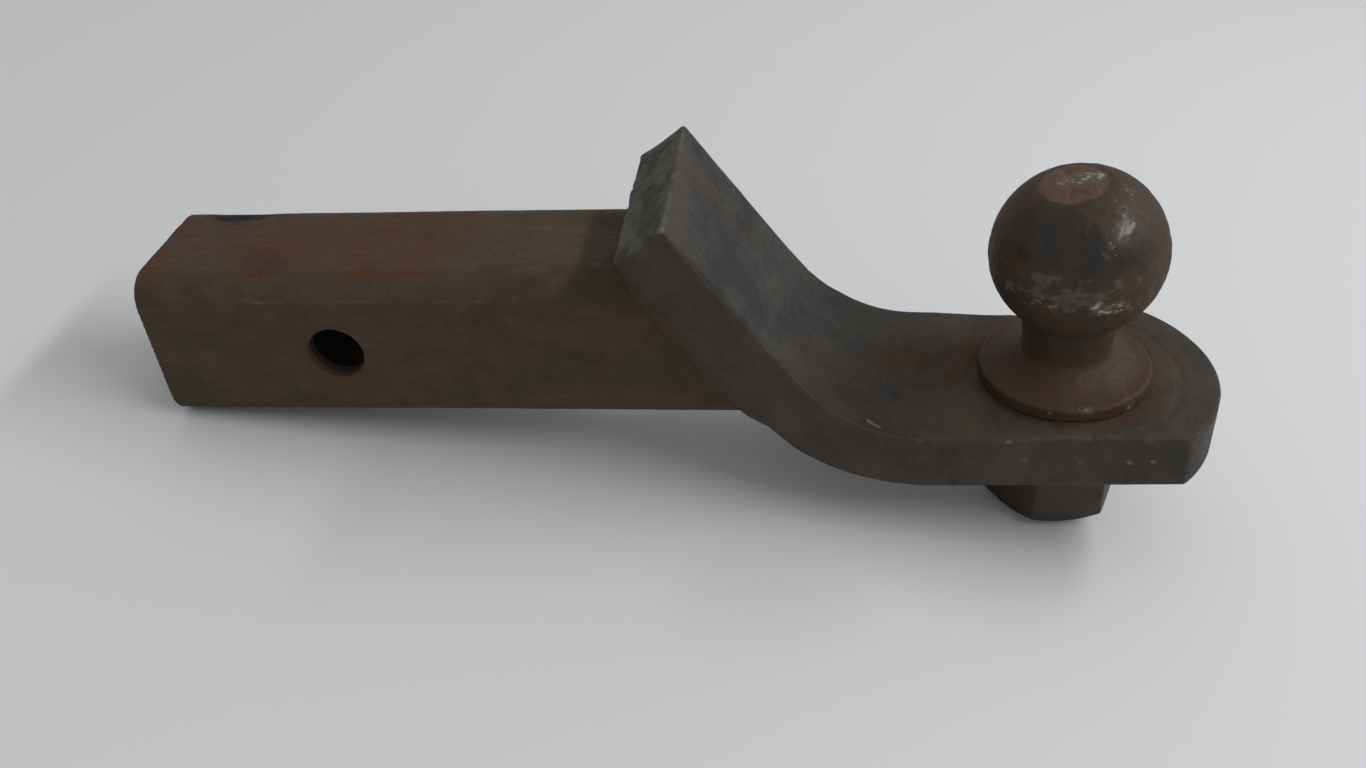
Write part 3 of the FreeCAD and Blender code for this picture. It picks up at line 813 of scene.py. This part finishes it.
def mixOf(factor, first, second):
    # the first colour at factor 0, the second at 1
    return put("Mix", {0: factor, 6: first, 7: second}, data_type="RGBA").outputs[2]


def laidOver(colour, *layers):
    # a colour moved toward each layer's in turn, by its mask times its amount
    for other, mask, amount in layers:
        colour = mixOf(timesOf(mask, amount), colour, other)
    return colour


def spanOf(value, low, high, toLow=0.0, toHigh=1.0):
    # smoothstep of a value from low to high, brought to another span
    ends = {"Value": value, "From Min": low, "From Max": high, "To Min": toLow, "To Max": toHigh}
    return put("MapRange", ends, interpolation_type="SMOOTHSTEP").outputs[0]


def noiseOf(vector, scale, detail=4.0, rough=0.55):
    # fractal noise at a place times a scale, from 0 to 1
    inputs = {"Vector": vector, "Scale": scale, "Detail": detail, "Roughness": rough}
    return put("TexNoise", inputs).outputs["Fac"]


def stretchOf(vector, scale):
    # a place times a scale along each axis
    return put("Mapping", {"Vector": vector, "Scale": scale}).outputs[0]


def newGroup(name, inputs, outputs):
    # an empty group with a place and values: itself, what it is given, its output node
    group = work["tree"] = bpy.data.node_groups.new(name, "ShaderNodeTree")
    group.interface.new_socket("Vector", in_out="INPUT", socket_type="NodeSocketVector")
    for way, labels in (("INPUT", inputs), ("OUTPUT", outputs)):
        for label in labels:
            group.interface.new_socket(label, in_out=way, socket_type="NodeSocketFloat")
    return group, group.nodes.new("NodeGroupInput").outputs, group.nodes.new("NodeGroupOutput")


def makeRustSpread():
    # rust where noise at two sizes passes the amount, with a varying tone
    group, given, result = newGroup("rustSpread", ("Scale", "Amount"), ("Mask", "Tone", "Grain"))
    vector, scale = given["Vector"], given["Scale"]
    broad = noiseOf(vector, scale, 7.0, 0.6)
    fine = noiseOf(vector, timesOf(scale, 9.0), 5.0, 0.65)
    tone = noiseOf(vector, timesOf(scale, 2.6), 6.0, 0.6)
    both = mathOf("ADD", timesOf(broad, 0.72), timesOf(fine, 0.28))
    level = mathOf("SUBTRACT", 0.78, timesOf(given["Amount"], 0.56))
    over = mathOf("SUBTRACT", both, level)
    fill(result, {"Mask": spanOf(over, -0.13, 0.15), "Tone": spanOf(tone, 0.32, 0.68), "Grain": fine})
    return group


def makePitField():
    # round pits in a fine grain: grain less pits times depth, and the pits alone
    group, given, result = newGroup("pitField", ("Scale", "Depth"), ("Height", "Pits"))
    vector, scale = given["Vector"], given["Scale"]
    wobble = put("TexNoise", {"Vector": vector, "Scale": timesOf(scale, 0.8), "Detail": 2.0})
    shift = put("VectorMath", {0: wobble.outputs["Color"], "Scale": 0.0016}, operation="SCALE").outputs[0]
    shifted = put("VectorMath", {0: vector, 1: shift}, operation="ADD").outputs[0]
    cells = put("TexVoronoi", {"Vector": shifted, "Scale": scale}, feature="F1")
    bowl = spanOf(cells.outputs["Distance"], 0.42, 0.08)
    chosen = spanOf(noiseOf(vector, timesOf(scale, 0.35), 3.0), 0.46, 0.62)
    pits = timesOf(bowl, chosen)
    grain = noiseOf(vector, timesOf(scale, 2.2), 6.0, 0.7)
    height = mathOf("SUBTRACT", timesOf(grain, 0.5), timesOf(pits, given["Depth"]))
    fill(result, {"Height": height, "Pits": pits})
    return group


def makeEdgeRub():
    # a mask broken into flecks: noise added to it, then eased
    group, given, result = newGroup("edgeRub", ("Mask", "Scale"), ("Worn",))
    flecks = noiseOf(given["Vector"], given["Scale"], 6.0, 0.7)
    raised = mathOf("ADD", timesOf(given["Mask"], 0.75), mathOf("SUBTRACT", flecks, 0.5))
    fill(result, {"Worn": spanOf(raised, 0.22, 0.62)})
    return group


rustSpread, pitField, edgeRub = makeRustSpread(), makePitField(), makeEdgeRub()


def placeGroup(group, inputs):
    # one of the shared groups in a material, as its outputs
    return put("Group", inputs, node_tree=group).outputs


def maskOf(name):
    # a mask from the piece's points
    return put("Attribute", attribute_name=name).outputs["Fac"]


def newMaterial(name, piece):
    # the piece's only material: its shader, and the place in the piece's frame
    material = bpy.data.materials.new(name)
    material.use_nodes = True
    tree = work["tree"] = material.node_tree
    piece.data.materials.clear()
    piece.data.materials.append(material)
    return tree.nodes["Principled BSDF"], put("TexCoord").outputs["Object"]


def wearOf(look, place, rustPlace=None, rubPlace=None):
    # the shared groups at a look's scales: rust by its mask, pits, and wear by the rub mask
    rusting = {"Vector": rustPlace or place, "Scale": look["rustScale"], "Amount": maskOf("rust")}
    spread = placeGroup(rustSpread, rusting)
    pits = placeGroup(pitField, {"Vector": place, "Scale": look["pitScale"], "Depth": look["pitDepth"]})
    worn = placeGroup(edgeRub, {"Vector": rubPlace or place, "Scale": look["rubScale"], "Mask": maskOf("rub")})
    return spread, pits, worn["Worn"]


def finishLook(shader, look, colour, rough, height):
    # colour, roughness, shine and a bump into the shader
    bump = put("Bump", {"Height": height, "Distance": look["bump"], "Strength": 1.0}).outputs[0]
    fill(shader, {"Base Color": colour, "Roughness": rough, "Specular IOR Level": look["specular"], "Normal": bump})


def roughOf(look, spread):
    # roughness between a look's two ends, by the grain of the rust
    return spanOf(spread["Grain"], 0.3, 0.7, *look["rough"])


rustedTube = {
    "grey": (0.066, 0.046, 0.030, 1), "brown": (0.062, 0.035, 0.020, 1), "red": (0.070, 0.027, 0.012, 1),
    # dark: painted shade for the chip, also used for the inside and patches
    "stain": (0.080, 0.036, 0.013, 1), "worn": (0.088, 0.080, 0.070, 1), "dark": (0.010, 0.009, 0.008, 1),
    "line": (0.022, 0.018, 0.014, 1), "drab": (0.049, 0.036, 0.024, 1),
    "specular": 0.17, "rough": (0.55, 0.78), "bump": 0.00022,
    "rustScale": 44.0, "rustStretch": (0.7, 1, 1), "pitScale": 620.0, "pitDepth": 0.8,
    "rubScale": 420.0, "rubStretch": (0.3, 1, 1),
    "lines": (620.0, 3.0, 0.6), "lineStretch": (0.05, 1, 1),  # scale, detail, roughness
    "mottle": (85.0, 7.0, 0.68), "mottleStretch": (0.8, 1, 1),
}


def paintTube(piece):
    # two mottled tones turned to rust by its spread and mask, then lines, stains, worn metal and dark laid over;
    # the dark is painted shade in the chip, and also darkens the inside and patches
    look = rustedTube
    shader, place = newMaterial("rustedTube", piece)
    rustPlace, rubPlace = stretchOf(place, look["rustStretch"]), stretchOf(place, look["rubStretch"])
    spread, pits, worn = wearOf(look, place, rustPlace, rubPlace)
    lines = noiseOf(stretchOf(place, look["lineStretch"]), *look["lines"])
    mottle = noiseOf(stretchOf(place, look["mottleStretch"]), *look["mottle"])
    plain = mixOf(spanOf(mottle, 0.38, 0.62), look["drab"], look["grey"])
    rust = mixOf(spread["Tone"], look["brown"], look["red"])
    masked = spanOf(maskOf("rust"), 0.35, 0.85, 0.0, 0.7)
    colour = mixOf(mathOf("ADD", timesOf(spread["Mask"], 0.55), masked), plain, rust)
    colour = mixOf(spanOf(lines, 0.4, 0.75, 0.0, 0.22), colour, look["line"])
    stained = spanOf(spread["Grain"], 0.3, 0.62)
    colour = laidOver(colour, (look["stain"], maskOf("stain"), stained), (look["worn"], worn, 0.75))
    # painted shade: the chip goes dark, as do the inside and some patches
    colour = mixOf(maskOf("dark"), colour, look["dark"])
    rough = mathOf("SUBTRACT", roughOf(look, spread), timesOf(worn, 0.2))
    height = mathOf("ADD", pits["Height"], timesOf(lines, 0.25))
    finishLook(shader, look, colour, rough, height)


scaledBar = {
    "scale": (0.043, 0.038, 0.033, 1), "blue": (0.019, 0.019, 0.020, 1), "brown": (0.040, 0.026, 0.016, 1),
    "red": (0.060, 0.030, 0.018, 1), "worn": (0.120, 0.110, 0.096, 1), "cut": (0.086, 0.084, 0.067, 1),
    "cutDark": (0.036, 0.033, 0.025, 1), "olive": (0.047, 0.041, 0.031, 1), "side": (0.050, 0.040, 0.030, 1),
    # grime: dark in scratches and pits, and painted shade in the bend's hollow
    "sideDark": (0.034, 0.028, 0.021, 1), "warm": (0.066, 0.044, 0.028, 1), "grime": (0.015, 0.012, 0.0095, 1),
    "specular": 0.22, "rough": (0.50, 0.68), "bump": 0.00013,
    "rustScale": 42.0, "pitScale": 520.0, "pitDepth": 0.9, "rubScale": 380.0,
    "tint": (26.0, 5.0, 0.6), "mottle": (75.0, 6.0, 0.65), "mottleStretch": (1.2, 0.7, 1.2),
}


def paintBar(piece):
    # mill scale in two tints, then each mark laid over it by its own mask
    look = scaledBar
    shader, place = newMaterial("scaledBar", piece)
    spread, pits, worn = wearOf(look, place)
    cut = maskOf("cut")
    tint = spanOf(noiseOf(place, *look["tint"]), 0.4, 0.6)
    mottle = noiseOf(stretchOf(place, look["mottleStretch"]), *look["mottle"])
    sides = mixOf(spanOf(mottle, 0.36, 0.6), look["sideDark"], look["side"])
    torched = mixOf(spanOf(mottle, 0.40, 0.58), look["cutDark"], look["cut"])
    rust = mixOf(spread["Tone"], look["brown"], look["red"])
    # the grime colour at its bend mask is painted shade with grime; at scratches and pits it is their own dark
    colour = laidOver(
        mixOf(tint, look["scale"], look["blue"]), (look["olive"], spanOf(mottle, 0.46, 0.62), 0.55),
        (look["warm"], maskOf("warm"), 0.6), (look["grime"], maskOf("grime"), 0.62),
        (look["grime"], maskOf("scratch"), 0.7), (sides, maskOf("dark"), 0.9), (torched, cut, 0.85),
        (rust, spread["Mask"], 0.85), (look["grime"], pits["Pits"], 0.2), (look["worn"], worn, 0.8))
    rough = mathOf("ADD", roughOf(look, spread), timesOf(spread["Mask"], 0.18))
    rough = mathOf("ADD", rough, timesOf(cut, 0.15))
    finishLook(shader, look, colour, rough, pits["Height"])


rustedWeld = {
    "plain": (0.046, 0.032, 0.019, 1), "brown": (0.046, 0.032, 0.019, 1), "red": (0.060, 0.035, 0.017, 1),
    "worn": (0.050, 0.043, 0.034, 1), "wornPart": 0.6, "specular": 0.3, "rough": (0.5, 0.75), "bump": 0.0002,
    "rustScale": 90.0, "pitScale": 700.0, "pitDepth": 0.7, "rubScale": 500.0,
}


wornBall = {
    "black": (0.008, 0.006, 0.005, 1), "brown": (0.046, 0.029, 0.018, 1), "dull": (0.033, 0.022, 0.015, 1),
    "orange": (0.050, 0.024, 0.013, 1), "deep": (0.034, 0.022, 0.015, 1), "worn": (0.084, 0.075, 0.059, 1),
    # pale: bare worn metal, and the painted reflection and glints
    "pale": (0.34, 0.31, 0.27, 1), "flatRust": (0.080, 0.047, 0.030, 1),
    "specular": 0.27, "coat": 0.4, "coatRough": 0.2, "rough": (0.58, 0.76), "bump": 0.00016,
    "rustScale": 70.0, "pitScale": 640.0, "pitDepth": 1.0, "rubScale": 520.0,
    "tint": (60.0, 5.0, 0.6), "sparkle": (420.0, 6.0, 0.7), "sparkleStretch": (1, 1, 1.8),
}


def paintBall(piece):
    # two brown tints, black where polished, then rust, neck, worn metal and pale specks of wear, painted reflection
    # and painted glints; the polish adds a coat
    look = wornBall
    shader, place = newMaterial("wornBall", piece)
    spread, pits, worn = wearOf(look, place)
    polish = maskOf("polish")
    tint = spanOf(noiseOf(place, *look["tint"]), 0.42, 0.6)
    sparkle = noiseOf(stretchOf(place, look["sparkleStretch"]), *look["sparkle"])
    rust = mixOf(spread["Tone"], look["brown"], look["orange"])
    rust = mixOf(spanOf(maskOf("rust"), 0.74, 0.95), rust, look["flatRust"])
    colour = mixOf(tint, look["brown"], look["dull"])
    colour = mixOf(polish, colour, look["black"])
    colour = mixOf(spread["Mask"], colour, rust)
    # pale wear, painted reflection and painted glints, broken into specks
    bright = timesOf(maskOf("bright"), spanOf(sparkle, 0.50, 0.64))
    colour = laidOver(colour, (look["deep"], maskOf("dark"), 0.6), (look["worn"], worn, 0.8),
                      (look["pale"], bright, 0.9))
    rough = mathOf("SUBTRACT", roughOf(look, spread), timesOf(polish, 0.42))
    finishLook(shader, look, colour, rough, pits["Height"])
    fill(shader, {"Coat Weight": timesOf(polish, look["coat"]), "Coat Roughness": look["coatRough"]})


darkHardware = {
    "plain": (0.025, 0.0175, 0.0115, 1), "brown": (0.036, 0.023, 0.014, 1), "red": (0.036, 0.023, 0.014, 1),
    "worn": (0.09, 0.085, 0.075, 1), "wornPart": 0.5, "specular": 0.45, "rough": (0.42, 0.62), "bump": 0.00018,
    "rustScale": 80.0, "pitScale": 700.0, "pitDepth": 0.6, "rubScale": 500.0,
}


def paintPlain(piece, name, look):
    # a plain colour, rust where it spreads, and worn metal laid over by its part
    shader, place = newMaterial(name, piece)
    spread, pits, worn = wearOf(look, place)
    rust = mixOf(spread["Tone"], look["brown"], look["red"])
    colour = mixOf(spread["Mask"], look["plain"], rust)
    colour = laidOver(colour, (look["worn"], worn, look["wornPart"]))
    finishLook(shader, look, colour, roughOf(look, spread), pits["Height"])


paintTube(tubePiece)
paintBar(barPiece)
paintPlain(weldPiece, "rustedWeld", rustedWeld)
paintBall(ballPiece)
paintPlain(washerPiece, "darkWasher", darkHardware)
paintPlain(nutPiece, "darkNut", darkHardware)
print("materials painted")


# Floor, light and camera

stage = {
    "tailFoot": (-58.4, -25.4), "nutFoot": (205.93, -71.07),  # where the mount touches the floor, in side view
    "floor": {"Base Color": (0.615, 0.625, 0.635, 1), "Roughness": 0.6, "Specular IOR Level": 0.2},
    "reach": 9.0, "sky": {"Color": (1.0, 0.998, 0.99, 1), "Strength": 0.55},
    "keyTarget": (0.11, 0, -0.02), "toKey": (0.75, -0.03, 0.64), "keyDistance": 1.35,
    "keySize": (1.5, 0.11), "keyPower": 11.0,  # long across the mount
}


def standing(place, right, up, back):
    # a matrix that stands at a place with its X, Y and Z along three ways
    return Matrix.Translation(place) @ Matrix((right, up, back)).transposed().to_4x4()


def buildFloor():
    # a wide square sheet through the two feet, level across
    (tailX, tailZ), (nutX, nutZ) = array(stage["tailFoot"]) * mm, array(stage["nutFoot"]) * mm
    slope = (nutZ - tailZ) / (nutX - tailX)
    side = linspace(-1, 1, 3) * stage["reach"]
    x, y = np.meshgrid(side, side, indexing="ij")
    points = stack([x, y, tailZ + slope * (x - tailX)], axis=-1).reshape(-1, 3)
    mesh = bpy.data.meshes.new("floor")
    mesh.from_pydata(points.tolist(), [], quads(gridIndex(3, 3))[:, ::-1].tolist())
    floor = addObject("floor", mesh)
    fill(newMaterial("paleFloor", floor)[0], stage["floor"])


def buildLight():
    # an even sky and one long lamp across the mount, at a distance from its target
    world = bpy.data.worlds.new("studio")
    bpy.context.scene.world = world
    world.use_nodes = True
    fill(world.node_tree.nodes["Background"], stage["sky"])
    lamp = bpy.data.lights.new("keyLight", "AREA")
    lamp.shape = "RECTANGLE"
    lamp.size, lamp.size_y = stage["keySize"]
    lamp.energy = stage["keyPower"]
    holder = addObject("keyLight", lamp)
    toKey = Vector(stage["toKey"]).normalized()
    across = (Vector((0, 1, 0)) - toKey * toKey.y).normalized()
    place = Vector(stage["keyTarget"]) + toKey * stage["keyDistance"]
    holder.matrix_world = standing(place, across, toKey.cross(across), toKey)


view = {
    "place": (0.145786, -0.308012, 0.199194),
    "right": (0.99377, 0.09203, -0.06292), "up": (-0.00433, 0.59581, 0.80311),
    "lens": 30.966, "sensor": 36.0, "nearest": 0.01,
}


def buildCamera():
    # the photograph's view: backward is right crossed with up, and up is squared to both
    data = bpy.data.cameras.new("camera")
    data.sensor_fit = "HORIZONTAL"
    data.sensor_width, data.lens, data.clip_start = view["sensor"], view["lens"], view["nearest"]
    camera = addObject("camera", data)
    right = Vector(view["right"]).normalized()
    back = right.cross(Vector(view["up"])).normalized()
    camera.matrix_world = standing(view["place"], right, back.cross(right), back)
    bpy.context.scene.camera = camera


buildFloor()
buildLight()
buildCamera()
bpy.context.scene.view_settings.view_transform = "Standard"
print("floor, light and camera set")
